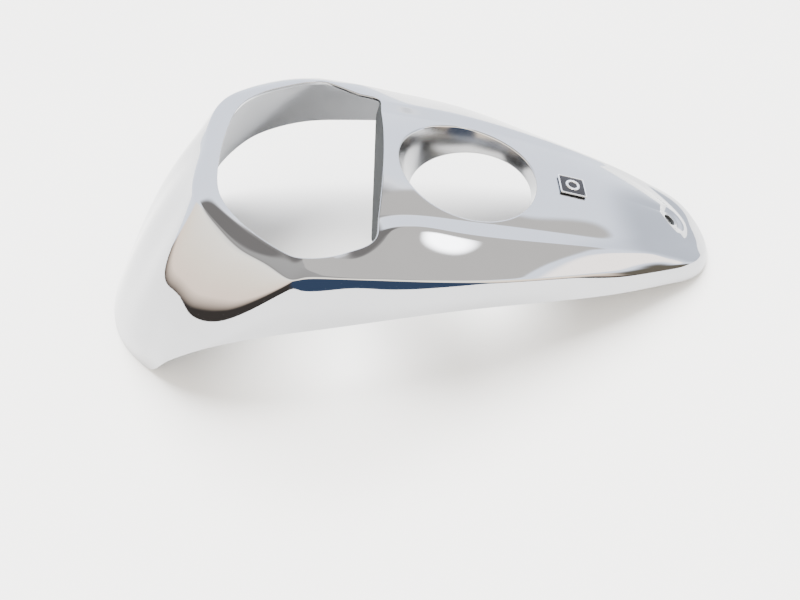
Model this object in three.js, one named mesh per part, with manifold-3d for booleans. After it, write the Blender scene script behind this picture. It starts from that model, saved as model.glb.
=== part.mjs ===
// Motorcycle tank console cover: a long chromed shell that lies along the crest of a fuel tank.
// It frames an instrument at the front and a fuel cap at the middle, and one screw holds its tail.
// Millimetres, +Z up. In the working frame x runs from the nose lip (0) to the tail (LENGTH), and
// the group at the end moves the origin to the middle of the footprint, on the resting plane.
import * as THREE from 'three';
import { mergeVertices } from 'three/addons/utils/BufferGeometryUtils.js';
import Module from 'manifold-3d';

const wasm = await Module();
wasm.setup();

// ---- Driving dimensions -------------------------------------------------------------------
const LENGTH = 479;
const SKIN = 2.6;
const GAP = 0.3;
const STATIONS = 68;

// Lines that run round one side of the cover, from the nose centre to the tail centre. Points with
// the same place in each list lie across from each other, so the skin is spanned between them.
// HEM: the free lower edge. BELLY and SHOULDER: the lower and upper pulls that round the skirt.
// CREST: the hard line between the skirt and the top. RIM: the edge of the instrument frame, then
// the outer crease. VALLEY: the inner crease. SPINE: the middle of the top.
const HEM = [
  [0, 0, 0], [2.5, 25, 0], [9, 46, 0], [22, 68, 0], [45, 91, 0.5], [72, 107, 27], [95, 113.5, 44],
  [116, 116.5, 54], [150, 117.5, 62], [190, 115, 63.5], [228, 110.5, 62.5], [285, 101, 57],
  [343, 85.5, 41.5], [397, 69, 26], [438, 51.5, 12.5], [464, 36.5, 3.5], [476, 18, 0], [479, 0, 0],
];
const BELLY = [
  [39, 0, 56], [38.5, 31.5, 57], [45, 60, 56.5], [54, 85, 59], [71.5, 103, 62], [96.5, 113.5, 64.5],
  [123.5, 119, 70], [150, 119.5, 78], [178, 116, 83], [204, 113, 81], [232, 109.5, 77],
  [287, 100.5, 67], [344, 84.5, 50], [399, 67, 33], [439, 50.5, 18], [465, 36, 9], [475.5, 17.5, 5.5],
  [478, 0, 4.5],
];
const SHOULDER = [
  [79.5, 0, 109], [81.5, 26, 109], [93, 50, 108.5], [102, 71.5, 114.5], [116.5, 85.5, 115],
  [133, 97, 112.5], [149.5, 105.5, 108], [164.5, 112, 103], [183, 114, 98], [208, 110.5, 93.5],
  [235, 107, 87], [289, 99, 74.5], [346, 83, 56], [400, 64.5, 38], [440, 48.5, 22.5], [464, 34, 13],
  [474.3, 16.8, 8], [476.5, 0, 6.8],
];
const CREST = [
  [112.7, 0, 129], [112.3, 24, 129.2], [113.6, 42, 129.7], [120.3, 57.3, 130], [134, 75, 125.7],
  [153, 93.2, 118.2], [168.4, 102.1, 113.1], [179.5, 109.2, 107.7], [190, 108, 106], [213, 105.7, 101],
  [238, 103, 94], [290, 96.2, 79.5], [347, 80.4, 60], [400, 61.5, 41], [440, 45.5, 25.5],
  [463, 32, 16], [472.5, 15.5, 10], [474, 0, 8.6],
];
const RIM = [
  [127, 0, 130.6], [128, 24, 130.2], [130.5, 41.5, 129.5], [136, 55.5, 127.8], [147, 70, 124.2],
  [162, 83, 119.2], [174, 91, 115.6], [182, 94.8, 113.2], [192, 95.2, 110.9], [216, 85.5, 104.5],
  [240, 69.5, 105.5], [285, 65.8, 93.8], [343, 60, 73], [398, 50, 50.3], [432, 38.5, 35],
  [449, 25, 25.5], [459, 12.5, 19.3], [461.5, 0, 18.2],
];
const VALLEY = [
  [150, 0, 127], [151, 14, 127], [153, 26, 126.5], [158, 36, 125], [166, 46, 122.5], [176, 54, 119.5],
  [186, 58, 117], [192, 60, 115], [200, 61, 113], [218, 60, 109], [240, 57, 105], [285, 53.5, 93.5],
  [343, 49.5, 72.8], [398, 41, 52.3], [430, 30, 37.5], [445, 19, 29.6], [452, 10, 25.8], [454, 0, 24.6],
];
const SPINE = [
  [160, 0, 125.4], [160.5, 0, 125.3], [162, 0, 125], [165, 0, 124.6], [171, 0, 123.8], [181, 0, 122.7],
  [191, 0, 121.5], [198, 0, 120.5], [206, 0, 119], [222, 0, 116], [240, 0, 112], [285, 0, 98.5],
  [343, 0, 77], [398, 0, 57.5], [426, 0, 44], [438, 0, 37.5], [443, 0, 34], [445, 0, 32.4],
];
const SKIRT_ROWS = 7;
const FRAME_ROWS = 4;
const CROWN_ROWS = 4;
const FRAME_SWELL = 0.8;

// Instrument opening: the cut leans back with the bulkhead behind it.
const BULKHEAD_LEAN = THREE.MathUtils.degToRad(28);
const BULKHEAD_X = 230.6;
const BULKHEAD_BASE = 94.3;
const BULKHEAD_THICK = 2.6;
const BULKHEAD_HALF = 73;
const CUT_LEVEL = 100.5;
const CORNER = 8;
const REAR_RIM = [[204, 90.7, 107.3], [216, 86, 104], [224, 81.8, 101.8]];
const REAR_HALF = 73;

// Fuel-cap well: a ring wall between a sloping top circle and a nearly level lower circle.
const WELL_X = 295.5;
const WELL_TOP = { z: 91, radius: 50.6, slope: THREE.MathUtils.degToRad(18.7) };
const WELL_FOOT = { z: 70.9, radius: 44.8, slope: THREE.MathUtils.degToRad(6.3) };
const WELL_SIDES = 48;

// Tail screw seat: a dished cup square to the skin.
const SEAT = { x: 448.8, z: 29.3, slope: THREE.MathUtils.degToRad(38), depth: 2.5, under: 5.5, hole: 5 };

// Bosses under the front of the frame, and the strap that screws to them.
const BOSS = { x: 107, y: 12, radius: 5, low: 104, hole: 1.9 };
const STRAP_THICK = 2;
const STRAP_WIDTH = 38;
const STRAP_TOP = BOSS.low - GAP;
const STRAP_BACK = 112.5;
const STRAP_LEG = 94;
const STRAP_TONGUE = 76;
const STRAP_FOOT = 74;
const SCREW = { shank: 1.6, tip: 111, head: 3.6, headHeight: 2.2 };
const CUSHION_THICK = 4;

// Badge: a nearly square tile behind the cap well. Heights are above its place on the skin.
const BADGE = {
  x: 369.9, z: 67.75, slope: THREE.MathUtils.degToRad(18.9), length: 20, width: 19.6, skew: 1.2,
};
const BADGE_CORNER = 1.2;
const BADGE_EDGE = 1;

const CHROME = { color: 0xcdd0d6, roughness: 0.06, metalness: 1 };
const BRIGHT_TRIM = { color: 0xd6d8dc, roughness: 0.1, metalness: 1 };
const BLACK_ENAMEL = { color: 0x0b0b0d, roughness: 0.12, metalness: 0 };
const FOAM_TAPE = { color: 0x1d1d1f, roughness: 0.9, metalness: 0 };
const ZINC_STEEL = { color: 0xa9acb0, roughness: 0.38, metalness: 1 };
const BLACK_RUBBER = { color: 0x161617, roughness: 0.85, metalness: 0 };

// ---- Curves and skins ---------------------------------------------------------------------
function ring(half) {
  const other = half.slice(1, -1).reverse().map(([x, y, z]) => [x, -y, z]);
  const points = [...half, ...other].map((point) => new THREE.Vector3(...point));
  const curve = new THREE.CatmullRomCurve3(points, true, 'centripetal');
  const row = Array.from({ length: STATIONS }, (_, k) => curve.getPoint(k / STATIONS));
  return row.map((point) => point.setZ(Math.max(point.z, 0)));
}

function between(from, to, share) {
  return from.map((point, k) => point.clone().lerp(to[k], share));
}

function skirtRow(share) {
  const [hem, belly, shoulder, crest] = [HEM, BELLY, SHOULDER, CREST].map(ring);
  return hem.map((point, k) => (
    new THREE.CubicBezierCurve3(point, belly[k], shoulder[k], crest[k]).getPoint(share)
  ));
}

function frameRow(share) {
  const row = between(ring(CREST), ring(RIM), share);
  const lift = 4 * FRAME_SWELL * share * (1 - share);
  return row.map((point) => point.setZ(point.z + lift));
}

function crownRow(share) {
  const valley = ring(VALLEY);
  const rise = 1 - (1 - share) ** 2;
  return ring(SPINE).map((top, k) => {
    const low = valley[k];
    const z = THREE.MathUtils.lerp(low.z, top.z, rise);
    return new THREE.Vector3().lerpVectors(low, top, share).setZ(z);
  });
}

function steps(count, row) {
  return Array.from({ length: count }, (_, i) => row((i + 1) / count));
}

function skinRows() {
  return [
    ring(HEM),
    ...steps(SKIRT_ROWS, skirtRow),
    ...steps(FRAME_ROWS, frameRow),
    ring(VALLEY),
    ...steps(CROWN_ROWS, crownRow),
  ];
}

function normalAt(rows, i, k) {
  const last = rows.length - 1;
  const row = Math.min(i, last - 1);
  const along = rows[row][(k + 1) % STATIONS].clone().sub(rows[row][(k - 1 + STATIONS) % STATIONS]);
  const across = rows[row + 1][k].clone().sub(rows[Math.max(row - 1, 0)][k]);
  const normal = across.cross(along).normalize();
  if (i === last) normal.setY(0).normalize();
  return normal;
}

function insetRows(rows, depth) {
  return rows.map((row, i) => row.map((point, k) => (
    point.clone().addScaledVector(normalAt(rows, i, k), -depth)
  )));
}

// ---- Solids -------------------------------------------------------------------------------
function dropSlivers(geometry) {
  const corners = geometry.index.array;
  const kept = [];
  for (let i = 0; i < corners.length; i += 3) {
    const [a, b, c] = corners.slice(i, i + 3);
    if (a !== b && b !== c && c !== a) kept.push(a, b, c);
  }
  geometry.setIndex(kept);
  return geometry;
}

function toSolid(geometry) {
  const bare = geometry.clone();
  bare.deleteAttribute('normal');
  bare.deleteAttribute('uv');
  const merged = dropSlivers(mergeVertices(bare, 1e-4));
  const vertProperties = new Float32Array(merged.attributes.position.array);
  const triVerts = new Uint32Array(merged.index.array);
  return new wasm.Manifold(new wasm.Mesh({ numProp: 3, vertProperties, triVerts }));
}

function toGeometry(solid) {
  const mesh = solid.getMesh();
  const geometry = new THREE.BufferGeometry();
  geometry.setAttribute('position', new THREE.BufferAttribute(mesh.vertProperties, 3));
  geometry.setIndex(new THREE.BufferAttribute(mesh.triVerts, 1));
  return geometry;
}

// Rings of equal length, bottom first and running anticlockwise seen from above, joined in a skin.
function ringsGeometry(rings) {
  const sides = rings[0].length;
  const corners = [];
  for (let i = 0; i + 1 < rings.length; i += 1) {
    for (let k = 0; k < sides; k += 1) {
      const a = i * sides + k;
      const b = i * sides + (k + 1) % sides;
      corners.push(a, b, b + sides, a, b + sides, a + sides);
    }
  }
  const geometry = new THREE.BufferGeometry().setFromPoints(rings.flat());
  geometry.setIndex(corners);
  return geometry;
}

function anticlockwise(rings) {
  return rings.map((row) => [...row].reverse());
}

// The space under the cover's top, down to its hem, as one solid body.
function bodySolid(depth, extraDrop) {
  const rows = insetRows(skinRows(), depth);
  const low = rows[0].map((point) => point.clone().setZ(point.z - extraDrop));
  const floor = low.map((point) => point.clone().setY(0));
  const rings = extraDrop > 0 ? [floor, low, ...rows] : [floor, ...rows];
  return toSolid(ringsGeometry(anticlockwise(rings)));
}

function placed(geometry, x, y, z, tilt = 0) {
  return geometry.clone().rotateY(tilt).translate(x, y, z);
}

// Slants an upright cut so that it leans back by the bulkhead's angle above CUT_LEVEL.
function leanBack(geometry) {
  const slant = Math.tan(BULKHEAD_LEAN);
  const shear = new THREE.Matrix4().makeShear(0, 0, 0, 0, slant, 0);
  return geometry.clone().translate(0, 0, -CUT_LEVEL).applyMatrix4(shear).translate(0, 0, CUT_LEVEL);
}

function openingOutline() {
  const slant = Math.tan(BULKHEAD_LEAN);
  const rim = [...RIM.slice(0, 9), ...REAR_RIM];
  const side = rim.map(([x, y, z]) => new THREE.Vector2(x - (z - CUT_LEVEL) * slant, y));
  const other = side.slice(1).reverse().map((point) => new THREE.Vector2(point.x, -point.y));
  const last = side[side.length - 1];
  const outline = new THREE.Shape();
  outline.moveTo(last.x, -last.y);
  outline.splineThru([...other.slice(1), ...side]);
  outline.quadraticCurveTo(BULKHEAD_X, 79, BULKHEAD_X, REAR_HALF);
  outline.lineTo(BULKHEAD_X, -REAR_HALF);
  outline.quadraticCurveTo(BULKHEAD_X, -79, last.x, -last.y);
  return outline;
}

function openingCut() {
  const options = { depth: 130, bevelEnabled: false, curveSegments: 24 };
  const prism = new THREE.ExtrudeGeometry(openingOutline(), options).translate(0, 0, 40);
  return toSolid(leanBack(prism));
}

function bulkhead() {
  const low = BULKHEAD_BASE;
  const high = 125;
  const half = BULKHEAD_HALF;
  const face = new THREE.Shape();
  face.moveTo(half, high);
  face.lineTo(-half, high);
  face.lineTo(-half, low + CORNER);
  face.quadraticCurveTo(-half, low, CORNER - half, low);
  face.lineTo(half - CORNER, low);
  face.quadraticCurveTo(half, low, half, low + CORNER);
  const plate = new THREE.ExtrudeGeometry(face, { depth: BULKHEAD_THICK, bevelEnabled: false });
  plate.rotateX(Math.PI / 2).rotateZ(Math.PI / 2).translate(BULKHEAD_X, 0, 0);
  return toSolid(leanBack(plate));
}

// One circle of the well at a level between its foot (0) and its top (1), grown by an extra radius.
function wellRing(level, extra) {
  const radius = THREE.MathUtils.lerp(WELL_FOOT.radius, WELL_TOP.radius, level) + extra;
  const slope = THREE.MathUtils.lerp(WELL_FOOT.slope, WELL_TOP.slope, level);
  const z = THREE.MathUtils.lerp(WELL_FOOT.z, WELL_TOP.z, level);
  return Array.from({ length: WELL_SIDES }, (_, k) => {
    const turn = (2 * Math.PI * k) / WELL_SIDES;
    const reach = radius * Math.cos(turn);
    return new THREE.Vector3(
      WELL_X + reach * Math.cos(slope), radius * Math.sin(turn), z - reach * Math.sin(slope),
    );
  });
}

function wellSolid(low, high, extra) {
  const rings = [low, high].map((level) => wellRing(level, extra));
  const centre = (row) => row.map(() => row.reduce((sum, point) => sum.add(point), new THREE.Vector3())
    .divideScalar(row.length));
  return toSolid(ringsGeometry([centre(rings[0]), ...rings, centre(rings[1])]));
}

function turned(profile) {
  const points = profile.map(([radius, height]) => new THREE.Vector2(radius, height));
  return new THREE.LatheGeometry(points, 32).rotateX(Math.PI / 2);
}

// The seat's profiles are heights above the skin, along the screw's axis.
function seatCup() {
  const profile = [[0, -SEAT.under], [10, -SEAT.under], [15, -2], [15, 3], [0, 3]];
  return toSolid(placed(turned(profile), SEAT.x, 0, SEAT.z, SEAT.slope));
}

function seatCut() {
  const { depth, hole } = SEAT;
  const profile = [
    [0, -20], [hole, -20], [hole, -depth], [8, -depth], [12.6, 0], [13, 12], [0, 12],
  ];
  return toSolid(placed(turned(profile), SEAT.x, 0, SEAT.z, SEAT.slope));
}

// An upright round bar from one level to another.
function bar(x, y, low, high, radius) {
  const upright = new THREE.CylinderGeometry(radius, radius, high - low, 24).rotateX(Math.PI / 2);
  return toSolid(upright.translate(x, y, (low + high) / 2));
}

function atBothSides(make) {
  return make(1).add(make(-1));
}

function bosses() {
  return atBothSides((side) => bar(BOSS.x, side * BOSS.y, BOSS.low, 130, BOSS.radius));
}

function bossHoles() {
  return atBothSides((side) => bar(BOSS.x, side * BOSS.y, BOSS.low - 5, SCREW.tip + GAP, BOSS.hole));
}

function coverShell() {
  const outside = bodySolid(0, 0);
  const inside = bodySolid(SKIN, 12);
  const walls = bulkhead().add(wellSolid(0, 1.9, SKIN)).add(seatCup()).add(bosses());
  return outside.subtract(inside).add(walls.intersect(outside))
    .subtract(openingCut()).subtract(wellSolid(-0.8, 2.2, 0)).subtract(seatCut())
    .subtract(bossHoles());
}

// ---- Badge --------------------------------------------------------------------------------
function badgeOutline(margin) {
  const long = BADGE.length / 2 - margin;
  const wide = BADGE.width / 2 - margin;
  const slant = (u) => -BADGE.skew * (u / BADGE.length);
  const corners = [[-long, -wide], [long, -wide], [long, wide], [-long, wide]];
  const spots = corners.map(([u, v]) => new THREE.Vector2(u, v + slant(u)));
  const outline = new THREE.Shape();
  spots.forEach((spot, i) => {
    const before = spots[(i + 3) % 4];
    const after = spots[(i + 1) % 4];
    const enter = spot.clone().add(before.clone().sub(spot).setLength(BADGE_CORNER));
    const leave = spot.clone().add(after.clone().sub(spot).setLength(BADGE_CORNER));
    if (i === 0) outline.moveTo(enter.x, enter.y);
    else outline.lineTo(enter.x, enter.y);
    outline.quadraticCurveTo(spot.x, spot.y, leave.x, leave.y);
  });
  outline.closePath();
  return outline;
}

function onBadge(geometry) {
  return toSolid(placed(geometry, BADGE.x, 0, BADGE.z, BADGE.slope));
}

function badgeSlab(margin, low, high) {
  const options = { depth: high - low, bevelEnabled: false, curveSegments: 4 };
  return onBadge(new THREE.ExtrudeGeometry(badgeOutline(margin), options).translate(0, 0, low));
}

function badgePlate() {
  return badgeSlab(0, 0.9, 1.8).subtract(badgeSlab(BADGE_EDGE, 1.3, 4));
}

function badgeMark() {
  const profile = [[3.4, 2.2], [5.4, 2.2], [5.4, 2.5], [3.4, 2.5], [3.4, 2.2]];
  return onBadge(turned(profile));
}

// ---- Nose strap, its screws, and the cushions -----------------------------------------------
// A bent strip: under the bosses, down behind the nose, then forward as a tongue.
function noseBracket() {
  const outer = 4;
  const inner = outer - STRAP_THICK;
  const [top, under] = [STRAP_TOP, STRAP_TOP - STRAP_THICK];
  const [foot, sole] = [STRAP_FOOT, STRAP_FOOT - STRAP_THICK];
  const [front, back] = [STRAP_LEG, STRAP_LEG + STRAP_THICK];
  const side = new THREE.Shape();
  side.moveTo(STRAP_BACK, top);
  side.lineTo(front + outer, top);
  side.quadraticCurveTo(front, top, front, top - outer);
  side.lineTo(front, foot + inner);
  side.quadraticCurveTo(front, foot, front - inner, foot);
  side.lineTo(STRAP_TONGUE, foot);
  side.lineTo(STRAP_TONGUE, sole);
  side.lineTo(back - outer, sole);
  side.quadraticCurveTo(back, sole, back, sole + outer);
  side.lineTo(back, under - inner);
  side.quadraticCurveTo(back, under, back + inner, under);
  side.lineTo(STRAP_BACK, under);
  const options = { depth: STRAP_WIDTH, bevelEnabled: false, curveSegments: 5 };
  const strip = new THREE.ExtrudeGeometry(side, options);
  strip.rotateX(Math.PI / 2).translate(0, STRAP_WIDTH / 2, 0);
  const radius = SCREW.shank + GAP;
  const holes = atBothSides((end) => bar(BOSS.x, end * BOSS.y, under - 1, top + 1, radius));
  return toSolid(strip).subtract(holes);
}

// The head hangs below the strap. A cross-shaped recess in it takes the driver.
function bracketScrew(side) {
  const seat = STRAP_TOP - STRAP_THICK - GAP;
  const low = seat - SCREW.headHeight;
  const y = side * BOSS.y;
  const body = bar(BOSS.x, y, low, seat, SCREW.head).add(bar(BOSS.x, y, low, SCREW.tip, SCREW.shank));
  const slot = (length, width) => new THREE.BoxGeometry(length, width, 2.4).translate(BOSS.x, y, low);
  const blade = (length, width) => toSolid(slot(length, width));
  return body.subtract(blade(3.6, 0.9).add(blade(0.9, 3.6)));
}

// A layer of the space just inside the skin, between it and a copy of itself moved inwards.
function liningLayer(inwards) {
  const space = bodySolid(SKIN + GAP, 0);
  return space.subtract(space.translate(inwards.x, inwards.y, inwards.z));
}

function noseCushion(side) {
  const block = new THREE.BoxGeometry(34, 26, 24).translate(36, side * 36, 24);
  return liningLayer(new THREE.Vector3(CUSHION_THICK, 0, 0)).intersect(toSolid(block));
}

// Follows the rising hem, a little above it.
function skirtCushion(side) {
  const face = new THREE.Shape();
  face.moveTo(300, 56);
  face.lineTo(400, 28);
  face.lineTo(400, 36);
  face.lineTo(300, 68);
  const options = { depth: 60, bevelEnabled: false };
  const start = side > 0 ? 110 : -50;
  const block = new THREE.ExtrudeGeometry(face, options).rotateX(Math.PI / 2).translate(0, start, 0);
  return liningLayer(new THREE.Vector3(0, -side * CUSHION_THICK, 0)).intersect(toSolid(block));
}

// ---- Assembly -----------------------------------------------------------------------------
const cover = new THREE.Group();
cover.position.x = -LENGTH / 2;

function addPiece(name, solid, look) {
  const piece = new THREE.Mesh(toGeometry(solid), new THREE.MeshStandardMaterial(look));
  piece.name = name;
  cover.add(piece);
}

const SIDES = { left: 1, right: -1 };

addPiece('cover_shell', coverShell(), CHROME);
addPiece('badge_pad', badgeSlab(0.6, 0.3, 0.6), FOAM_TAPE);
addPiece('badge_plate', badgePlate(), BRIGHT_TRIM);
addPiece('badge_inlay', badgeSlab(BADGE_EDGE + GAP, 1.6, 1.9), BLACK_ENAMEL);
addPiece('badge_mark', badgeMark(), BRIGHT_TRIM);
addPiece('nose_bracket', noseBracket(), ZINC_STEEL);
Object.entries(SIDES).forEach(([word, side]) => {
  addPiece(`bracket_screw_${word}`, bracketScrew(side), ZINC_STEEL);
  addPiece(`nose_cushion_${word}`, noseCushion(side), BLACK_RUBBER);
  addPiece(`skirt_cushion_${word}`, skirtCushion(side), BLACK_RUBBER);
});

export default cover;
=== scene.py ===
"""Looks of the motorcycle tank console cover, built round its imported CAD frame.

Shape code works in millimetres, with x running from the nose lip (0) to the tail (LENGTH).
place() turns that into the row frame: metres, with the origin at the middle of the footprint.
"""
import math

import bpy
import numpy as np
from mathutils import Matrix, Vector
from mathutils.bvhtree import BVHTree
from mathutils.geometry import delaunay_2d_cdt
from mathutils.interpolate import poly_3d_calc


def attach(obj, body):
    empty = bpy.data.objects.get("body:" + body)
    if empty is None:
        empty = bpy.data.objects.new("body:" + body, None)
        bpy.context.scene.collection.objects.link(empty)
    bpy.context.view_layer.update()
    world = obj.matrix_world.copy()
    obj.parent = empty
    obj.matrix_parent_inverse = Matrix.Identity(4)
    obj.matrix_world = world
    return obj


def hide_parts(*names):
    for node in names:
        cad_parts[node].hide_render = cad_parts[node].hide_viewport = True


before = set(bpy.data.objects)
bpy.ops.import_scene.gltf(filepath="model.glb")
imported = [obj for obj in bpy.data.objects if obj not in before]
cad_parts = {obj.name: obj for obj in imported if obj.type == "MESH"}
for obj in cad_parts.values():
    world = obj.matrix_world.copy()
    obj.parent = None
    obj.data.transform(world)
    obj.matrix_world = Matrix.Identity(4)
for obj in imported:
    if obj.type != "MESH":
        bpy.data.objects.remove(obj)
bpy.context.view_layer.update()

# ---- Driving dimensions, as in the CAD -------------------------------------------------------
MILLIMETRE = 0.001
LENGTH = 479.0
SKIN = 2.6
HEM = [
    (0, 0, 0), (2.5, 25, 0), (9, 46, 0), (22, 68, 0), (45, 91, 0.5), (72, 107, 27), (95, 113.5, 44),
    (116, 116.5, 54), (150, 117.5, 62), (190, 115, 63.5), (228, 110.5, 62.5), (285, 101, 57),
    (343, 85.5, 41.5), (397, 69, 26), (438, 51.5, 12.5), (464, 36.5, 3.5), (476, 18, 0), (479, 0, 0),
]
BELLY = [
    (39, 0, 56), (38.5, 31.5, 57), (45, 60, 56.5), (54, 85, 59), (71.5, 103, 62), (96.5, 113.5, 64.5),
    (123.5, 119, 70), (150, 119.5, 78), (178, 116, 83), (204, 113, 81), (232, 109.5, 77),
    (287, 100.5, 67), (344, 84.5, 50), (399, 67, 33), (439, 50.5, 18), (465, 36, 9),
    (475.5, 17.5, 5.5), (478, 0, 4.5),
]
SHOULDER = [
    (79.5, 0, 109), (81.5, 26, 109), (93, 50, 108.5), (102, 71.5, 114.5), (116.5, 85.5, 115),
    (133, 97, 112.5), (149.5, 105.5, 108), (164.5, 112, 103), (183, 114, 98), (208, 110.5, 93.5),
    (235, 107, 87), (289, 99, 74.5), (346, 83, 56), (400, 64.5, 38), (440, 48.5, 22.5), (464, 34, 13),
    (474.3, 16.8, 8), (476.5, 0, 6.8),
]
CREST = [
    (112.7, 0, 129), (112.3, 24, 129.2), (113.6, 42, 129.7), (120.3, 57.3, 130), (134, 75, 125.7),
    (153, 93.2, 118.2), (168.4, 102.1, 113.1), (179.5, 109.2, 107.7), (190, 108, 106),
    (213, 105.7, 101), (238, 103, 94), (290, 96.2, 79.5), (347, 80.4, 60), (400, 61.5, 41),
    (440, 45.5, 25.5), (463, 32, 16), (472.5, 15.5, 10), (474, 0, 8.6),
]
RIM = [
    (127, 0, 130.6), (128, 24, 130.2), (130.5, 41.5, 129.5), (136, 55.5, 127.8), (147, 70, 124.2),
    (162, 83, 119.2), (174, 91, 115.6), (182, 94.8, 113.2), (192, 95.2, 110.9), (216, 85.5, 104.5),
    (240, 69.5, 105.5), (285, 65.8, 93.8), (343, 60, 73), (398, 50, 50.3), (432, 38.5, 35),
    (449, 25, 25.5), (459, 12.5, 19.3), (461.5, 0, 18.2),
]
VALLEY = [
    (150, 0, 127), (151, 14, 127), (153, 26, 126.5), (158, 36, 125), (166, 46, 122.5), (176, 54, 119.5),
    (186, 58, 117), (192, 60, 115), (200, 61, 113), (218, 60, 109), (240, 57, 105), (285, 53.5, 93.5),
    (343, 49.5, 72.8), (398, 41, 52.3), (430, 30, 37.5), (445, 19, 29.6), (452, 10, 25.8), (454, 0, 24.6),
]
SPINE = [
    (160, 0, 125.4), (160.5, 0, 125.3), (162, 0, 125), (165, 0, 124.6), (171, 0, 123.8), (181, 0, 122.7),
    (191, 0, 121.5), (198, 0, 120.5), (206, 0, 119), (222, 0, 116), (240, 0, 112), (285, 0, 98.5),
    (343, 0, 77), (398, 0, 57.5), (426, 0, 44), (438, 0, 37.5), (443, 0, 34), (445, 0, 32.4),
]
FRAME_SWELL = 0.8
LEAN = math.radians(28)
BULKHEAD_X = 230.6
BULKHEAD_BASE = 94.3
BULKHEAD_HALF = 73.0
CORNER = 8.0
CUT_LEVEL = 100.5
# The cap well's top and foot: height at its centre, radius and slope.
WELL_X = 295.5
WELL_TOP = (91.0, 50.6, math.radians(18.7))
WELL_FOOT = (70.9, 44.8, math.radians(6.3))
SEAT = (448.8, 0.0, 29.3)
SEAT_SLOPE = math.radians(38)
SEAT_FLAT = 8.0
SEAT_HOLE = 5.0
SEAT_DEPTH = 2.5
SEAT_UNDER = 5.5
SEAT_OUTSIDE = 15.0
BADGE = (369.9, 0.0, 67.75)
BADGE_SLOPE = math.radians(18.9)
BADGE_LENGTH, BADGE_WIDTH, BADGE_SKEW = 20.0, 19.6, 1.2
BADGE_CORNER = 1.2
BOSS_PLACE = (107.0, 12.0, 104.0)
BOSS_RADIUS = 5.0
BOSS_HOLE = 1.9
BOSS_HOLE_END = 111.3

# ---- Sizes of this mesh alone ----------------------------------------------------------------
CUT_HIGH = 200.0
# The opening follows the frame's rim from the nose to this point of a half line, then turns inward.
OPENING_END = 9
REAR_CORNER_PULLS = [(222, 82.6), (BULKHEAD_X, 80)]
REAR_STRAIGHT_HALF = BULKHEAD_HALF - 1
REAR_MARGIN = 1.5
FRONT_OFFSET = 1.0
WALL_BUILD_UP = 4.0
SEAT_RIM = 12.4
SEAT_FLANK = 3.4
SEAT_HIGH = 60.0
BOSS_BEVEL = 0.4
BOSS_HOLE_BEVEL = 0.3

# ---- Roundings -------------------------------------------------------------------------------
# Longest reach of a wall corner's rounding, as a share of the flat beside it.
LONGEST_ROUND = 0.48
OPENING_EASINGS = 3
# Reach each side of a section's creases: at the crest, then at the crown's outer crease.
OUTER_ROUNDS = (1.3, 1.8)
INNER_ROUNDS = (5.0, 6.0)
# The outer crease takes the crest's rounding up to the first x, and its own from the second.
ROUND_CHANGE = (185, 225)
EDGE_ROUND = 0.9
LIP_ROUND = 1.4
SEAT_ROUNDS = (LIP_ROUND, 1.2, 0.5, 0.3, 0.5, 0.5)

# ---- Sampling --------------------------------------------------------------------------------
STATIONS = 560
SECTION_SAMPLES = (79, 24, 8, 30)
OUTER_STEPS = (44, 26, 10, 28)
INNER_STEPS = (18, 10, 6, 12)
BAND_CROWDING = 1.6
KEPT_BAND_ROWS = 8
RIM_SAMPLES = 200
REAR_SAMPLES = 60
REAR_CORNER_SAMPLES = 29
OPENING_SPACING = 1.3
WELL_SIDES = 240
SEAT_SIDES = 96
BOSS_SIDES = 48
MARK_SIDES = 64
CORNER_SAMPLES = 6
HEM_SHARES = (0.25, 0.5, 0.75)
HEM_DROP = 0.5
OUTER_CLEARANCE = 0.8
INNER_CLEARANCE = 1.2
MERGE_DISTANCE = 1e-6

# Places of the shell's finishes in its list of materials. The last is dark: partly a real finish, partly
# painted shade.
CHROMED, SATIN, WELL, DARK_AND_PAINTED_SHADE = range(4)


# ---- Small helpers ---------------------------------------------------------------------------
def unit(vectors):
    return vectors / np.maximum(np.linalg.norm(vectors, axis=-1, keepdims=True), 1e-12)


def place(points):
    return (np.asarray(points, float) - (LENGTH / 2, 0, 0)) * MILLIMETRE


def quadratic(t, a, b, c):
    return (1 - t) ** 2 * a + 2 * (1 - t) * t * b + t * t * c


def cubic(t, a, b, c, d):
    return (1 - t) ** 3 * a + 3 * (1 - t) ** 2 * t * b + 3 * (1 - t) * t * t * c + t ** 3 * d


def smooth_step(low, high, value):
    t = np.clip((value - low) / (high - low), 0, 1)
    return t * t * (3 - 2 * t)


def tangents(before, here, after):
    """Second-order direction of a line through unevenly spaced points."""
    back, ahead = here - before, after - here
    near = np.linalg.norm(back, axis=-1, keepdims=True) + 1e-9
    far = np.linalg.norm(ahead, axis=-1, keepdims=True) + 1e-9
    return unit(ahead * (near / far) + back * (far / near))


def closed_line(half):
    half = np.array(half, float)
    return np.vstack([half, half[-2:0:-1] * (1, -1, 1)])


def closed_spline(points, knots, at):
    """Smooth closed curve through the points, as a periodic cubic."""
    count = len(points)
    step = np.diff(knots)
    matrix = np.zeros((count, count))
    right = np.zeros((count, 3))
    for i in range(count):
        before, after = (i - 1) % count, (i + 1) % count
        matrix[i, before] += step[before]
        matrix[i, i] += 2 * (step[before] + step[i])
        matrix[i, after] += step[i]
        right[i] = 6 * ((points[after] - points[i]) / step[i] - (points[i] - points[before]) / step[before])
    bend = np.linalg.solve(matrix, right)
    k = np.clip(np.searchsorted(knots, at, side="right") - 1, 0, count - 1)
    n = (k + 1) % count
    h = step[k][:, None]
    a = (knots[k + 1] - at)[:, None]
    b = (at - knots[k])[:, None]
    return (
        bend[k] * a ** 3 / (6 * h) + bend[n] * b ** 3 / (6 * h)
        + (points[k] / h - bend[k] * h / 6) * a + (points[n] / h - bend[n] * h / 6) * b
    )


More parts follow.
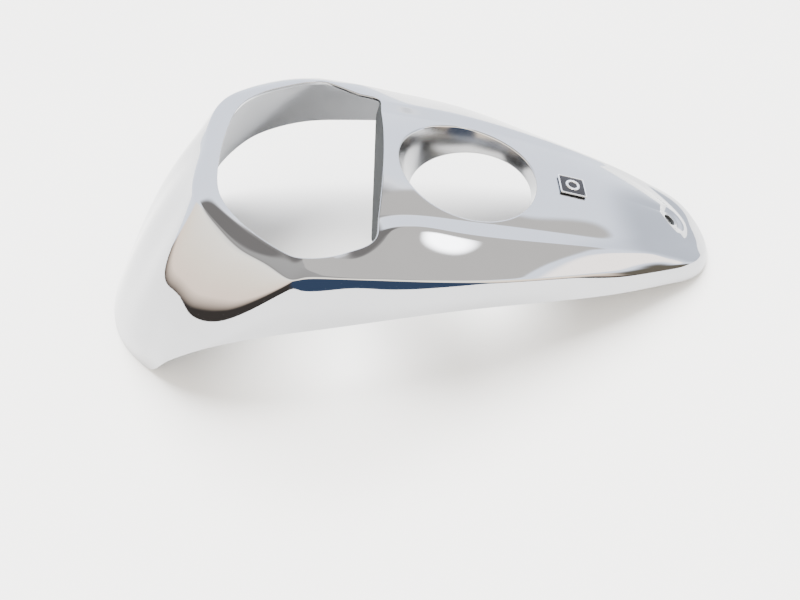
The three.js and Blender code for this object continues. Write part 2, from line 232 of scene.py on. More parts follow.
# ---- The skin --------------------------------------------------------------------------------
LINES = [closed_line(half) for half in (HEM, BELLY, SHOULDER, CREST, RIM, VALLEY, SPINE)]
CHORDS = [np.linalg.norm(np.roll(line, -1, 0) - line, axis=1) for line in (LINES[0], LINES[3])]
KNOTS = np.concatenate([[0], np.cumsum(np.mean(CHORDS, axis=0))])


def ring_lines(at):
    hem, *others = [closed_spline(line, KNOTS, at) for line in LINES]
    hem[:, 2] = np.maximum(hem[:, 2], 0)
    return [hem, *others]


def shares(samples):
    return np.linspace(0, 1, samples + 1)[:, None, None]


def raw_sections(at):
    """Fine section lines from hem to spine at places round the ring, and the row of each crease."""
    hem, belly, shoulder, crest, rim, valley, spine = ring_lines(at)
    skirt_samples, band_samples, ledge_samples, crown_samples = SECTION_SAMPLES
    skirt = cubic(shares(skirt_samples), hem, belly, shoulder, crest)
    t = shares(band_samples)[1:]
    band = crest + (rim - crest) * t + 4 * FRAME_SWELL * t * (1 - t) * np.array([0, 0, 1])
    t = shares(ledge_samples)[1:]
    ledge = rim + (valley - rim) * t
    t = shares(crown_samples)[1:]
    crown = valley + (spine - valley) * t
    crown[..., 2] = (valley + (spine - valley) * (1 - (1 - t) ** 2))[..., 2]
    return np.concatenate([skirt, band, ledge, crown]), np.cumsum([0, *SECTION_SAMPLES])


def eased(line, lengths, area, at, reach):
    """Average of a section line over a short reach each side, which rounds its corners."""
    def summed(s):
        k = np.clip(np.searchsorted(lengths, s, side="right") - 1, 0, len(lengths) - 2)
        part = (s - lengths[k])[:, None]
        slope = (line[k + 1] - line[k]) / (lengths[k + 1] - lengths[k])[:, None]
        return area[k] + line[k] * part + 0.5 * slope * part ** 2
    reach = np.minimum(reach, np.minimum(at, lengths[-1] - at))
    reach = np.maximum(reach, 1e-4)
    low, high = np.clip(at - reach, 0, lengths[-1]), np.clip(at + reach, 0, lengths[-1])
    return (summed(high) - summed(low)) / (high - low)[:, None]


def skin_grid(steps, crest_round, rim_round):
    """Rows of points from hem to spine, one point per station, with rounded creases."""
    at = KNOTS[-1] * np.arange(STATIONS) / STATIONS
    lines, creases = raw_sections(at)
    fractions = [
        np.sin(np.linspace(0, math.pi / 2, steps[0] + 1)),
        np.linspace(0, 1, steps[1] + 1)[1:] ** BAND_CROWDING,
        np.linspace(0, 1, steps[2] + 1)[1:],
        np.linspace(0, 1, steps[3] + 1)[1:],
    ]
    rows = sum(len(part) for part in fractions)
    grid = np.zeros((rows, STATIONS, 3))
    for i in range(STATIONS):
        line = lines[:, i]
        gaps = np.maximum(np.linalg.norm(np.diff(line, axis=0), axis=1), 1e-9)
        lengths = np.concatenate([[0], np.cumsum(gaps)])
        slices = (line[1:] + line[:-1]) / 2 * gaps[:, None]
        area = np.concatenate([[(0, 0, 0)], np.cumsum(slices, axis=0)])
        marks = lengths[creases]
        bands = zip(marks[:-1], marks[1:], fractions)
        spots = np.concatenate([start + (end - start) * part for start, end, part in bands])
        rearward = smooth_step(*ROUND_CHANGE, lines[creases[2], i, 0])
        rim_reach = crest_round + (rim_round - crest_round) * rearward
        middle = (marks[1] + marks[2]) / 2
        reach = np.where(spots < middle, crest_round, rim_reach)
        grid[:, i] = eased(line, lengths, area, spots, reach)
    mirror = (-np.arange(STATIONS)) % STATIONS
    grid[-1] = (grid[-1] + grid[-1, mirror]) / 2
    grid[-1, :, 1] = 0
    return grid


def grid_normals(grid):
    round_way = tangents(np.roll(grid, 1, 1), grid, np.roll(grid, -1, 1))
    padded = np.concatenate([[2 * grid[0] - grid[1]], grid, [mirrored_row(grid[-2])]])
    up_way = tangents(padded[:-2], padded[1:-1], padded[2:])
    return unit(np.cross(up_way, round_way)) * -flip_sign(grid)


def mirrored_row(row):
    return row * (1, -1, 1)


def flip_sign(grid):
    """+1 or -1, so that normals point out of the cover whichever way its stations run.

    It is judged on one face of the front of the skirt.
    """
    a, b = grid[10, 0], grid[10, 1]
    c = grid[11, 0]
    return 1.0 if np.cross(c - a, b - a)[0] > 0 else -1.0


# ---- Looking up the skin ---------------------------------------------------------------------
class Surface:
    """A grid's rows from first_row up, for finding where a line meets them and the normal there."""

    def __init__(self, grid, normals, first_row):
        rows, stations = grid.shape[:2]
        index = np.arange(rows * stations).reshape(rows, stations)
        a = index[first_row:-1]
        b = np.roll(a, -1, 1)
        c = np.roll(index[first_row + 1:], -1, 1)
        d = index[first_row + 1:]
        halves = [np.stack(corners, -1).reshape(-1, 3) for corners in ((a, b, c), (a, c, d))]
        self.triangles = np.concatenate(halves)
        self.points = [Vector(p) for p in grid.reshape(-1, 3)]
        self.normals = normals.reshape(-1, 3)
        self.tree = BVHTree.FromPolygons(self.points, self.triangles.tolist())

    def meet(self, origins, ways):
        spots, normals = [], []
        for origin, way in zip(origins, ways):
            hit, _, face, _ = self.tree.ray_cast(Vector(origin), Vector(way))
            corners = self.triangles[face]
            weights = poly_3d_calc([self.points[c] for c in corners], hit)
            spots.append(hit)
            normals.append(sum(w * self.normals[c] for w, c in zip(weights, corners)))
        return np.array(spots), unit(np.array(normals))


# ---- Holes -----------------------------------------------------------------------------------
class Edge:
    """A hole's edge: lines that drop through the skin, one per point, and the way out from the hole."""

    def __init__(self, origins, ways, outward):
        self.origins = np.array(origins, float)
        self.ways = unit(np.array(ways, float))
        self.outward = unit(np.array(outward, float))

    def on(self, surface, offset):
        shift = np.asarray(offset, float).reshape(-1, 1) * self.outward
        return surface.meet(self.origins + shift, self.ways)


def evenly(points, spacing):
    gaps = np.linalg.norm(np.diff(points, axis=0), axis=1)
    lengths = np.concatenate([[0], np.cumsum(gaps)])
    count = int(round(lengths[-1] / spacing))
    at = np.linspace(0, lengths[-1], count + 1)
    return np.stack([np.interp(at, lengths, points[:, i]) for i in range(points.shape[1])], 1)


def opening_edge():
    at = np.linspace(0, KNOTS[OPENING_END], RIM_SAMPLES)
    rim = closed_spline(LINES[4], KNOTS, at)
    front = np.stack([rim[:, 0] - (rim[:, 2] - CUT_LEVEL) * math.tan(LEAN), rim[:, 1]], 1)
    t = np.linspace(0, 1, REAR_CORNER_SAMPLES + 1)[1:, None]
    pulls = [front[-1], *REAR_CORNER_PULLS, (BULKHEAD_X, REAR_STRAIGHT_HALF)]
    corner = cubic(t, *np.array(pulls, float))
    side = np.linspace(REAR_STRAIGHT_HALF, 0, REAR_SAMPLES + 1)[1:]
    back = np.stack([np.full(REAR_SAMPLES, BULKHEAD_X), side], 1)
    half = evenly(np.concatenate([front, corner, back]), OPENING_SPACING)
    loop = np.concatenate([half, half[-2:0:-1] * (1, -1)])
    for _ in range(OPENING_EASINGS):
        loop = (np.roll(loop, 1, 0) + 2 * loop + np.roll(loop, -1, 0)) / 4
    run = np.roll(loop, -1, 0) - np.roll(loop, 1, 0)
    outward = unit(np.stack([-run[:, 1], run[:, 0], np.zeros(len(loop))], 1))
    shift = (CUT_HIGH - CUT_LEVEL) * math.tan(LEAN)
    origins = np.stack([loop[:, 0] + shift, loop[:, 1], np.full(len(loop), CUT_HIGH)], 1)
    ways = np.tile((-math.tan(LEAN), 0, -1), (len(loop), 1))
    return Edge(origins, ways, outward), loop


def well_ring(level, turn, extra=0.0):
    z, radius, slope = [foot + (top - foot) * level for foot, top in zip(WELL_FOOT, WELL_TOP)]
    reach = (radius + extra) * np.cos(turn)
    return np.stack([
        WELL_X + reach * math.cos(slope), (radius + extra) * np.sin(turn), z - reach * math.sin(slope),
    ], 1)


def well_edge(turn):
    foot, top = well_ring(0, turn), well_ring(1, turn)
    outward = np.stack([np.cos(turn), np.sin(turn), np.zeros(len(turn))], 1)
    return Edge(top + 3 * (top - foot), foot - top, outward)


def seat_frame():
    axis = np.array([math.sin(SEAT_SLOPE), 0, math.cos(SEAT_SLOPE)])
    across = np.array([math.cos(SEAT_SLOPE), 0, -math.sin(SEAT_SLOPE)])
    return np.array(SEAT), axis, across


def seat_ring(radius, height, turn):
    centre, axis, across = seat_frame()
    side = np.cos(turn)[:, None] * across + np.sin(turn)[:, None] * np.array([0, 1, 0])
    return centre + radius * side + height * axis


def seat_edge(turn, radius):
    _, axis, across = seat_frame()
    outward = np.cos(turn)[:, None] * across + np.sin(turn)[:, None] * np.array([0, 1, 0])
    return Edge(seat_ring(radius, SEAT_HIGH, turn), np.tile(-axis, (len(turn), 1)), outward)


def rounded_wall(corners, rounds):
    """Rows of points along a bent wall: its corners are rounded, and its two ends stay where they are."""
    rows = [corners[0]]
    for i in range(1, len(corners) - 1):
        here = corners[i]
        pulls = []
        for other in (corners[i - 1], corners[i + 1]):
            gap = np.linalg.norm(other - here, axis=1, keepdims=True)
            share = np.minimum(rounds[i - 1] / np.maximum(gap, 1e-6), LONGEST_ROUND)
            pulls.append(here + (other - here) * share)
        start, end = pulls
        if i == 1:
            start = corners[0]
        for t in np.linspace(0, 1, CORNER_SAMPLES)[1 if i == 1 else 0:]:
            rows.append(quadratic(t, start, here, end))
    rows.append(corners[-1])
    return np.array(rows)


# ---- The mesh --------------------------------------------------------------------------------
class Builder:
    """Collects points with their normals, and faces with their material."""

    def __init__(self):
        self.points, self.normals, self.faces, self.looks = [], [], [], []

    def add(self, points, normals):
        start = sum(len(p) for p in self.points)
        self.points.append(np.asarray(points, float).reshape(-1, 3))
        self.normals.append(np.asarray(normals, float).reshape(-1, 3))
        return start + np.arange(len(self.points[-1]))

    def quads(self, rows, look):
        """Faces between neighbouring closed rows of point numbers, with one look or one per column."""
        looks = np.broadcast_to(look, len(rows[0])).tolist()
        for low, high in zip(rows[:-1], rows[1:]):
            for a, b, c, d in zip(low, np.roll(low, -1), np.roll(high, -1), high):
                self.faces.append((int(a), int(b), int(c), int(d)))
            self.looks.extend(looks)

    def triangles(self, faces, look):
        self.faces.extend(tuple(int(v) for v in face) for face in faces)
        self.looks.extend([look] * len(faces))

    def fan(self, row, centre, normal, look):
        """Closes a ring of point numbers with triangles that meet at a centre point."""
        tip = self.add([centre], [normal])[0]
        self.triangles([(a, b, tip) for a, b in zip(row, np.roll(row, -1))], look)

    def build(self, name, materials):
        points, normals = np.concatenate(self.points), np.concatenate(self.normals)
        used = np.zeros(len(points), bool)
        for face in self.faces:
            used[list(face)] = True
        number = np.cumsum(used) - 1
        faces = [self.facing(face, points, normals) for face in self.faces]
        faces = [tuple(int(number[v]) for v in face) for face in faces]
        mesh = bpy.data.meshes.new(name)
        mesh.from_pydata(place(points[used]).tolist(), [], faces)
        mesh.polygons.foreach_set("material_index", self.looks)
        mesh.shade_smooth()
        mesh.normals_split_custom_set_from_vertices(normals[used].tolist())
        return add_object(name, mesh, materials)

    @staticmethod
    def facing(face, points, normals):
        a, b, c = points[face[0]], points[face[1]], points[face[2]]
        across = np.cross(b - a, c - a)
        if len(face) == 4:
            across = np.cross(c - a, points[face[3]] - b)
        return face if np.dot(across, normals[list(face)].sum(0)) > 0 else face[::-1]


def add_object(name, mesh, materials):
    piece = bpy.data.objects.new(name, mesh)
    bpy.context.scene.collection.objects.link(piece)
    for material in materials:
        mesh.materials.append(material)
    return piece


def inside(points, loop):
    """Which plan points lie in a closed plan loop."""
    found = np.zeros(len(points), bool)
    x, y = points[:, 0], points[:, 1]
    for (ax, ay), (bx, by) in zip(loop, np.roll(loop, -1, 0)):
        crosses = (ay > y) != (by > y)
        with np.errstate(divide="ignore", invalid="ignore"):
            reach = (bx - ax) * (y - ay) / (by - ay) + ax
        found ^= crosses & (x < reach)
    return found


def near(points, loop, distance):
    """Which plan points lie within a distance of a closed plan loop."""
    found = np.zeros(len(points), bool)
    for a, b in zip(loop, np.roll(loop, -1, 0)):
        run = b - a
        t = np.clip(((points - a) @ run) / max(run @ run, 1e-12), 0, 1)
        found |= np.linalg.norm(points - a - t[:, None] * run, axis=1) < distance
    return found


def fill_top(builder, border, grid_numbers, holes, look, clearance):
    """Triangles in plan between a border row and the hole edges, through the grid's own points."""
    points = np.concatenate(builder.points)
    plan = points[:, :2]
    loops = [plan[hole] for hole in holes]
    outline = plan[border]
    free = np.unique(grid_numbers)
    kept = np.ones(len(free), bool)
    for loop in loops:
        kept &= ~inside(plan[free], loop) & ~near(plan[free], loop, clearance)
    free = free[kept]
    numbers = np.concatenate([border, *holes, free])
    edges, start = [], 0
    for loop in (border, *holes):
        edges += [(start + k, start + (k + 1) % len(loop)) for k in range(len(loop))]
        start += len(loop)
    coords = [Vector(p) for p in plan[numbers]]
    _, _, faces, origin, _, _ = delaunay_2d_cdt(coords, edges, [], 0, MERGE_DISTANCE)
    known = np.array([numbers[sources[0]] if sources else -1 for sources in origin])
    faces = known[np.array([face for face in faces if len(face) == 3])]
    middle = plan[faces].mean(1)
    keep = inside(middle, outline) & (faces >= 0).all(1)
    for loop in loops:
        keep &= ~inside(middle, loop)
    builder.triangles(faces[keep], look)


def wall(builder, first, first_normals, last, rows, bends, look):
    """A closed band of faces along rounded wall rows, joined to point numbers at both ends.

    It is chromed as far as the end of the given number of bends, and the rest takes the look.
    """
    inner = rows[1:-1]
    padded = np.concatenate([rows[:1], rows, rows[-1:]])
    down = tangents(padded[:-2], padded[1:-1], padded[2:])[1:-1]
    along = tangents(np.roll(inner, 1, 1), inner, np.roll(inner, -1, 1))
    normals = unit(np.cross(down, along))
    if np.sum(normals[0] * first_normals) < 0:
        normals = -normals
    numbers = [builder.add(row, normal) for row, normal in zip(inner, normals)]
    everything = [first, *numbers, last]
    change = bends * CORNER_SAMPLES - 1
    builder.quads(everything[:change + 1], CHROMED)
    builder.quads(everything[change:], look)


def build_shell(materials):
    outer = skin_grid(OUTER_STEPS, *OUTER_ROUNDS)
    outer_normals = grid_normals(outer)
    middle = skin_grid(INNER_STEPS, *INNER_ROUNDS)
    inner_normals = -grid_normals(middle)
    inner = middle + SKIN * inner_normals
    inner[..., 2] = np.maximum(inner[..., 2], 0.0)
    crest_row = OUTER_STEPS[0]
    top = Surface(outer, outer_normals, crest_row)
    under = Surface(inner, inner_normals, INNER_STEPS[0])

    shell = Builder()
    outer_numbers = shell.add(outer, outer_normals).reshape(outer.shape[:2])
    inner_numbers = shell.add(inner, inner_normals).reshape(inner.shape[:2])
    border_row = crest_row + KEPT_BAND_ROWS
    shell.quads(outer_numbers[:border_row + 1], CHROMED)
    inner_border = INNER_STEPS[0] + 1
    shell.quads(inner_numbers[:inner_border + 1], SATIN)

    outer_holes, inner_holes = [], []
    for make, bends in ((opening_wall, 1), (well_wall, 1), (seat_wall, 3)):
        corners, rounds, top_normals, low_normals, look = make(top, under)
        first = shell.add(corners[0], top_normals)
        last = shell.add(corners[-1], low_normals)
        wall(shell, first, top_normals, last, rounded_wall(corners, rounds), bends, look)
        outer_holes.append(first)
        inner_holes.append(last)

    half = STATIONS // 2
    free = top_points(outer_numbers, border_row, half)
    fill_top(shell, outer_numbers[border_row], free, outer_holes, CHROMED, OUTER_CLEARANCE)
    free = top_points(inner_numbers, inner_border, half)
    fill_top(shell, inner_numbers[inner_border], free, inner_holes, SATIN, INNER_CLEARANCE)
    outside = (outer_numbers[0], outer[0], outer_normals[0])
    within = (inner_numbers[0], inner[0], inner_normals[0])
    hem_strip(shell, outside, within)
    add_bosses(shell, Surface(inner, inner_normals, 0))
    return shell.build("console_shell", materials)


def top_points(numbers, border_row, half):
    """Numbers of the grid points above the border. The spine's are taken once, as both sides meet on it."""
    return np.concatenate([numbers[border_row + 1:-1].ravel(), numbers[-1, 1:half]])


def hem_strip(shell, outside, within):
    """Joins the skins along the hem. Each side is its bottom row's point numbers, points and normals."""
    outer_row, outer_points, outer_normals = outside
    inner_row, inner_points, inner_normals = within
    between = []
    for t in HEM_SHARES:
        drop = math.sin(math.pi * t)
        points = outer_points + (inner_points - outer_points) * t - np.array([0, 0, HEM_DROP * drop])
        points[:, 2] = np.maximum(points[:, 2], 0.0)
        normals = outer_normals * (1 - t) + inner_normals * t - np.array([0, 0, 2 * drop])
        between.append(shell.add(points, unit(normals)))
    shell.quads([outer_row, *between, inner_row], CHROMED)


def opening_wall(top, under):
    """The instrument opening's edge: only the skin's thickness in front, and the bulkhead at the rear."""
    edge, loop = opening_edge()
    start, normals = edge.on(top, EDGE_ROUND)
    corner, _ = edge.on(top, 0)
    low, _ = edge.on(under, 0)
    skin_depth = np.linalg.norm(low - corner, axis=1)
    side = np.abs(loop[:, 1])
    bend = np.sqrt(np.maximum(CORNER ** 2 - np.maximum(side - BULKHEAD_HALF + CORNER, 0) ** 2, 0))
    base = BULKHEAD_BASE + CORNER - bend
    at_rear = (loop[:, 0] > BULKHEAD_X - REAR_MARGIN) & (side < BULKHEAD_HALF)
    wall_depth = np.where(at_rear, (corner[:, 2] - base) / math.cos(LEAN), 0)
    extra = np.maximum(wall_depth - skin_depth, 0)
    share = smooth_step(0.0, WALL_BUILD_UP, extra)
    offset = FRONT_OFFSET + (SKIN - FRONT_OFFSET) * share
    end, end_normals = edge.on(under, offset)
    foot = corner + edge.ways * (skin_depth + extra)[:, None]
    back = end + edge.ways * extra[:, None]
    back = back + (foot - back) * (0.5 * (1 - share))[:, None]
    # The bulkhead takes the dark material: its own dark finish, darkened further by painted shade.
    look = np.where(at_rear, DARK_AND_PAINTED_SHADE, CHROMED)
    return [start, corner, foot, back, end], (EDGE_ROUND,) * 3, normals, end_normals, look


def well_wall(top, under):
    turn = np.linspace(0, 2 * math.pi, WELL_SIDES, endpoint=False)
    edge = well_edge(turn)
    start, normals = edge.on(top, LIP_ROUND)
    corner, _ = edge.on(top, 0)
    end, end_normals = edge.on(under, SKIN)
    foot, outer_foot = well_ring(0, turn), well_ring(0, turn, SKIN)
    rounds = (LIP_ROUND, EDGE_ROUND, EDGE_ROUND)
    return [start, corner, foot, outer_foot, end], rounds, normals, end_normals, WELL


def seat_wall(top, under):
    turn = np.linspace(0, 2 * math.pi, SEAT_SIDES, endpoint=False)
    edge = seat_edge(turn, SEAT_RIM)
    start, normals = edge.on(top, LIP_ROUND)
    corner, _ = edge.on(top, 0)
    end, end_normals = seat_edge(turn, SEAT_OUTSIDE).on(under, 0)
    profile = [
        (SEAT_FLAT, -SEAT_DEPTH), (SEAT_HOLE, -SEAT_DEPTH), (SEAT_HOLE, -SEAT_UNDER),
        (2 * SEAT_HOLE, -SEAT_UNDER), (SEAT_OUTSIDE, -SEAT_FLANK),
    ]
    corners = [start, corner, *[seat_ring(radius, height, turn) for radius, height in profile], end]
    # Below the lip, the seat's hole walls take the dark material, which is painted shade in the recess.
    return corners, SEAT_ROUNDS, normals, end_normals, DARK_AND_PAINTED_SHADE


def add_bosses(shell, skin):
    """Two tapped bosses under the front of the frame, with their tops buried in the skin."""
    turn = np.linspace(0, 2 * math.pi, BOSS_SIDES, endpoint=False)
    way = np.stack([np.cos(turn), np.sin(turn), np.zeros(len(turn))], 1)
    up = np.array([0.0, 0.0, 1.0])
    x, y, low = BOSS_PLACE
    for side in (1, -1):
        foot = np.array([x, side * y, low])
        start = foot + BOSS_RADIUS * way
        met, _ = skin.meet(start, np.tile(up, (len(turn), 1)))
        top = start + (met[:, 2:] - low + SKIN / 2) * up
        end = foot + (BOSS_HOLE_END - low) * up
        hole = foot + BOSS_HOLE * way
        rows = [
            (top, way), (start + BOSS_BEVEL * up, way), (start - BOSS_BEVEL * way, way - up),
            (hole + BOSS_HOLE_BEVEL * way, -up - way), (hole + BOSS_HOLE_BEVEL * up, -way),
            (end + BOSS_HOLE * way, -way),
        ]
        numbers = [shell.add(points, unit(normals)) for points, normals in rows]
        shell.quads(numbers, SATIN)
        shell.fan(numbers[0], top.mean(0), up, SATIN)
        shell.fan(numbers[-1], end, -up, SATIN)


# ---- Badge -----------------------------------------------------------------------------------
SHARP_ANGLE = math.radians(50)


def badge_outline(margin):
    """The tile's outline in its own plane, with rounded corners."""
    long, wide = BADGE_LENGTH / 2 - margin, BADGE_WIDTH / 2 - margin
    spots = np.array([(-long, -wide), (long, -wide), (long, wide), (-long, wide)])
    spots[:, 1] -= BADGE_SKEW * spots[:, 0] / BADGE_LENGTH
    enter = spots + BADGE_CORNER * unit(np.roll(spots, 1, 0) - spots)
    leave = spots + BADGE_CORNER * unit(np.roll(spots, -1, 0) - spots)
    t = np.linspace(0, 1, 7)[:, None]
    return np.concatenate([quadratic(t, a, b, c) for a, b, c in zip(enter, spots, leave)])


def round_outline(radius):
    turn = np.linspace(0, 2 * math.pi, MARK_SIDES, endpoint=False)
    return radius * np.stack([np.cos(turn), np.sin(turn)], 1)


def on_badge(outline, height):
    across = np.array([math.cos(BADGE_SLOPE), 0, -math.sin(BADGE_SLOPE)])
    axis = np.array([math.sin(BADGE_SLOPE), 0, math.cos(BADGE_SLOPE)])
    flat = outline[:, :1] * across + outline[:, 1:] * np.array([0, 1, 0])
    return np.array(BADGE) + flat + height * axis


def add_badge_piece(node, outline, profile, look, joined=False):
    """A closed piece from (size, height) rings, bottom first. Joined, its last ring meets its first."""
    rings = [on_badge(outline(size), height) for size, height in profile]
    sides = len(rings[0])
    index = np.arange(len(rings) * sides).reshape(len(rings), sides)
    order = np.vstack([index, index[:1]]) if joined else index
    faces = []
    for low, high in zip(order[:-1], order[1:]):
        faces += np.stack([low, np.roll(low, -1), np.roll(high, -1), high], 1).tolist()
    if not joined:
        faces += [index[0][::-1].tolist(), index[-1].tolist()]
    mesh = bpy.data.meshes.new(node)
    mesh.from_pydata(place(np.concatenate(rings)).tolist(), [], faces)
    mesh.shade_smooth()
    mesh.set_sharp_from_angle(angle=SHARP_ANGLE)
    piece = add_object(f"{node}_detail", mesh, [look])
    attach(piece, "root")
    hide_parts(node)


def add_badge(trim, enamel, foam):
    pad = [(0.75, 0.0), (0.55, 0.15), (0.55, 0.7), (0.65, 0.85)]
    plate = [
        (0.15, 0.9), (0.0, 1.05), (0.0, 1.5), (0.08, 1.68), (0.3, 1.8), (0.7, 1.8), (0.9, 1.72),
        (1.0, 1.6), (1.0, 1.3),
    ]
    inlay = [(1.06, 1.34), (1.06, 1.6), (1.16, 1.68), (1.3, 1.7)]
    mark = [(5.4, 1.74), (5.4, 2.1), (5.2, 2.28), (4.4, 2.34), (3.6, 2.28), (3.4, 2.1), (3.4, 1.74)]
    add_badge_piece("badge_pad", badge_outline, pad, foam)
    add_badge_piece("badge_plate", badge_outline, plate, trim)
    add_badge_piece("badge_inlay", badge_outline, inlay, enamel)
    add_badge_piece("badge_mark", round_outline, mark, trim, joined=True)


# ---- Materials -------------------------------------------------------------------------------
DARKER, LIGHTER = 0.95, 1.04


def noise_field(nodes, links, scale, stretch, detail):
    """A noise over the object's own space, stretched along an axis where the finish has a grain."""
    space = nodes.new("ShaderNodeTexCoord").outputs["Object"]
    mapping = nodes.new("ShaderNodeMapping")
    mapping.inputs["Scale"].default_value = stretch
    links.new(space, mapping.inputs["Vector"])
    noise = nodes.new("ShaderNodeTexNoise")
    noise.inputs["Scale"].default_value = scale
    noise.inputs["Detail"].default_value = detail
    links.new(mapping.outputs["Vector"], noise.inputs["Vector"])
    return noise.outputs["Fac"]


def material(name, base, roughness, metallic, spread, blotch, grain, relief, stretch=(1, 1, 1), gloss=0.5):
    """A finish whose tone and roughness drift in blotches, over a fine grain that lifts the surface.

    blotch and grain are how many marks there are to a metre; relief is the grain's height in metres.
    """
    made = bpy.data.materials.new(name)
    made.use_nodes = True
    nodes, links = made.node_tree.nodes, made.node_tree.links
    shader = nodes["Principled BSDF"]
    shader.inputs["Metallic"].default_value = metallic
    shader.inputs["Specular IOR Level"].default_value = gloss
    drift = noise_field(nodes, links, blotch, (1, 1, 1), 4)
    fine = noise_field(nodes, links, grain, stretch, 3)
    tone = nodes.new("ShaderNodeMix")
    tone.data_type = "RGBA"
    tone.inputs["A"].default_value = (*[c * DARKER for c in base], 1)
    tone.inputs["B"].default_value = (*[min(c * LIGHTER, 1) for c in base], 1)
    links.new(drift, tone.inputs["Factor"])
    links.new(tone.outputs["Result"], shader.inputs["Base Color"])
    marks = nodes.new("ShaderNodeMath")
    marks.operation = "MULTIPLY"
    links.new(drift, marks.inputs[0])
    links.new(fine, marks.inputs[1])
    rough = nodes.new("ShaderNodeMapRange")
    rough.inputs["From Max"].default_value = 0.5
    rough.inputs["To Min"].default_value = max(roughness - spread, 0.0)
    rough.inputs["To Max"].default_value = roughness + spread
    links.new(marks.outputs["Value"], rough.inputs["Value"])
    links.new(rough.outputs["Result"], shader.inputs["Roughness"])
    lift = nodes.new("ShaderNodeBump")
    lift.inputs["Strength"].default_value = 1.0
    lift.inputs["Distance"].default_value = relief
    links.new(fine, lift.inputs["Height"])
    links.new(lift.outputs["Normal"], shader.inputs["Normal"])
    return made


def paint_kept_nodes(looks):
    for node, look in looks.items():
        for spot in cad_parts[node].material_slots:
            spot.material = look


# ---- Scene -----------------------------------------------------------------------------------
FLOOR_X = (-1.8, 0.5)
FLOOR_Y = (-0.45, 1.8)
FLOOR_Z = -0.0002
SKY_LOW = -0.25
BACKDROP = (4.3, 4.3, 4.3)


def add_floor():
    (left, right), (front, rear) = FLOOR_X, FLOOR_Y
    corners = [(x, y, FLOOR_Z) for x, y in ((left, front), (right, front), (right, rear), (left, rear))]
    mesh = bpy.data.meshes.new("floor")
    mesh.from_pydata(corners, [], [(0, 1, 2, 3)])
    paint = material("floor_paint", (0.86, 0.86, 0.85), 0.6, 0, 0.05, 3, 60, 2e-5)
    add_object("floor", mesh, [paint])


def add_camera():
    data = bpy.data.cameras.new("camera")
    data.sensor_width = 36
    data.lens = 32.4
    camera = bpy.data.objects.new("camera", data)
    bpy.context.scene.collection.objects.link(camera)
    right = Vector((0.99506, 0, -0.09932))
    up = Vector((0.0642, 0.76305, 0.64315))
    back = right.cross(up)
    camera.matrix_world = Matrix((
        (right.x, up.x, back.x, 0.0402), (right.y, up.y, back.y, -0.4030),
        (right.z, up.z, back.z, 0.4266), (0, 0, 0, 1),
    ))
    bpy.context.scene.camera = camera


def heading(azimuth, elevation):
    a, e = math.radians(azimuth), math.radians(elevation)
    return math.cos(e) * math.cos(a), math.cos(e) * math.sin(a), math.sin(e)


class Sky:
    """The studio round the part, painted by direction: wall and ceiling bands, and soft cards."""

    def __init__(self, tree):
        self.nodes, self.links = tree.nodes, tree.links
        self.way = self.nodes.new("ShaderNodeTexCoord").outputs["Generated"]
        split = self.nodes.new("ShaderNodeSeparateXYZ")
        self.links.new(self.way, split.inputs["Vector"])
        self.height = split.outputs["Z"]

    def bands(self, stops):
        """Colours by elevation in degrees."""
        ramp = self.nodes.new("ShaderNodeValToRGB")
        lift = self.nodes.new("ShaderNodeMapRange")
        lift.inputs["From Min"].default_value = SKY_LOW
        lift.inputs["From Max"].default_value = 1.0
        self.links.new(self.height, lift.inputs["Value"])
        self.links.new(lift.outputs["Result"], ramp.inputs["Fac"])
        elements = ramp.color_ramp.elements
        while len(elements) < len(stops):
            elements.new(0.5)
        for element, (elevation, colour) in zip(elements, stops):
            element.position = (math.sin(math.radians(elevation)) - SKY_LOW) / (1 - SKY_LOW)
            element.color = (*colour, 1)
        return ramp.outputs["Color"]

    def near(self, azimuth, elevation, full, none):
        """1 within the angle full of a direction, falling to 0 at the angle none."""
        dot = self.nodes.new("ShaderNodeVectorMath")
        dot.operation = "DOT_PRODUCT"
        dot.inputs[1].default_value = heading(azimuth, elevation)
        self.links.new(self.way, dot.inputs[0])
        fade = self.nodes.new("ShaderNodeMapRange")
        fade.interpolation_type = "SMOOTHSTEP"
        fade.inputs["From Min"].default_value = math.cos(math.radians(none))
        fade.inputs["From Max"].default_value = math.cos(math.radians(full))
        self.links.new(dot.outputs["Value"], fade.inputs["Value"])
        return fade.outputs["Result"]

    def mix(self, factor, below, above):
        blend = self.nodes.new("ShaderNodeMix")
        blend.data_type = "RGBA"
        self.links.new(factor, blend.inputs["Factor"])
        for socket, value in (("A", below), ("B", above)):
            if isinstance(value, tuple):
                blend.inputs[socket].default_value = (*value, 1)
            else:
                self.links.new(value, blend.inputs[socket])
        return blend.outputs["Result"]


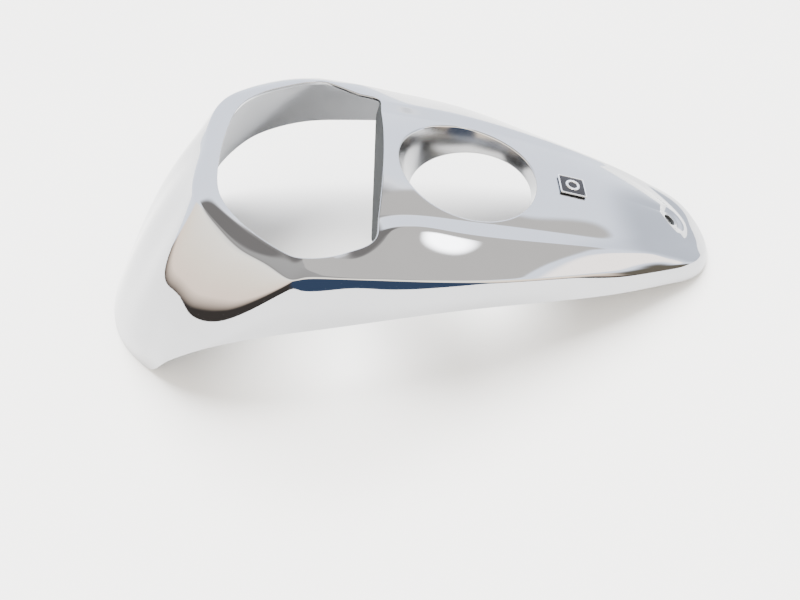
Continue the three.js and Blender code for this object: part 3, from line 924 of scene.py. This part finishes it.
def add_world():
    """Glossy surfaces see a soft studio: a pale wall behind, a beige one in front, and a ceiling.

    The camera sees a plain pale backdrop.
    """
    world = bpy.data.worlds.new("studio")
    world.use_nodes = True
    sky = Sky(world.node_tree)
    behind = sky.bands([
        (-14, (2.5, 2.6, 2.8)), (0, (2.7, 2.85, 3.15)), (25, (2.6, 2.75, 3.1)), (46, (2.75, 2.9, 3.2)),
        (50, (3.0, 3.05, 3.2)), (55, (1.15, 1.1, 1.05)), (65, (1.1, 1.06, 1.0)), (88, (0.95, 0.92, 0.87)),
    ])
    ahead = sky.bands([
        (-14, (0.1, 0.085, 0.075)), (-3, (0.1, 0.085, 0.075)), (3, (3.0, 2.4, 1.9)), (14, (3.2, 2.75, 2.2)),
        (38, (3.5, 3.25, 2.8)), (48, (2.6, 2.5, 2.3)), (56, (0.7, 0.66, 0.62)), (88, (0.95, 0.92, 0.87)),
    ])
    colour = sky.mix(sky.near(68, 0, 88, 92), ahead, behind)
    colour = sky.mix(sky.near(110, 66, 15, 23), colour, (0.4, 0.375, 0.355))
    colour = sky.mix(sky.near(8, 55, 20.5, 22), colour, (1.4, 1.33, 1.24))
    colour = sky.mix(sky.near(24, 54, 21.5, 23.5), colour, (1.4, 1.33, 1.24))
    colour = sky.mix(sky.near(17, 57, 2.6, 6.5), colour, (14.0, 14.0, 14.0))
    colour = sky.mix(sky.near(28, 4, 16, 30), colour, (1.5, 1.6, 1.8))
    colour = sky.mix(sky.near(-6, 22, 9.5, 12), colour, (5.0, 4.5, 4.1))
    colour = sky.mix(sky.near(-16, 0, 8, 13), colour, (0.3, 0.26, 0.2))
    colour = sky.mix(sky.near(-72, 0, 20, 27), colour, (0.08, 0.125, 0.23))
    path = sky.nodes.new("ShaderNodeLightPath")
    colour = sky.mix(path.outputs["Is Camera Ray"], colour, BACKDROP)
    shade = sky.nodes["Background"]
    sky.links.new(colour, shade.inputs["Color"])
    shade.inputs["Strength"].default_value = 1.17
    bpy.context.scene.world = world


def add_key_light():
    data = bpy.data.lights.new("key_light", "SUN")
    data.energy = 13.0
    data.angle = math.radians(45)
    light = bpy.data.objects.new("key_light", data)
    bpy.context.scene.collection.objects.link(light)
    light.rotation_euler = Vector(heading(100, 62)).to_track_quat("Z", "Y").to_euler()
    light.visible_glossy = False


add_floor()
add_camera()
add_world()
add_key_light()
chrome = material("shell_chrome", (0.43, 0.439, 0.46), 0.03, 1, 0.02, 30, 900, 1.5e-7)
satin = material("shell_inside", (0.25, 0.255, 0.265), 0.36, 1, 0.06, 60, 1500, 1.5e-5)
brushed = material("well_finish", (0.33, 0.335, 0.345), 0.2, 1, 0.05, 40, 1200, 1e-6, (0.2, 0.2, 6))
trim = material("bright_trim", (0.78, 0.79, 0.81), 0.09, 1, 0.04, 400, 4000, 4e-7)
enamel = material("black_enamel", (0.014, 0.014, 0.017), 0.3, 0, 0.08, 300, 3000, 1e-6, gloss=0.12)
foam = material("foam_tape", (0.022, 0.022, 0.024), 0.92, 0, 0.06, 300, 5000, 1e-4)
# Dark matte colour: the bulkhead's dark finish plus painted shade, and painted shade in the tail seat's
# hole.
dark_and_painted_shade = material("dark_finish_and_painted_shade", (0.04, 0.043, 0.045), 0.7, 0, 0.08, 60, 1500, 2e-5, gloss=0.03)
zinc = material("zinc_steel", (0.42, 0.42, 0.41), 0.34, 1, 0.1, 90, 900, 1.2e-5, (1, 14, 1))
rubber = material("black_rubber", (0.02, 0.02, 0.021), 0.78, 0, 0.1, 120, 2500, 4e-5)

shell = build_shell([chrome, satin, brushed, dark_and_painted_shade])
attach(shell, "root")
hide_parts("cover_shell")
add_badge(trim, enamel, foam)
paint_kept_nodes({
    "nose_bracket": zinc, "bracket_screw_left": zinc, "bracket_screw_right": zinc,
    "nose_cushion_left": rubber, "nose_cushion_right": rubber,
    "skirt_cushion_left": rubber, "skirt_cushion_right": rubber,
})
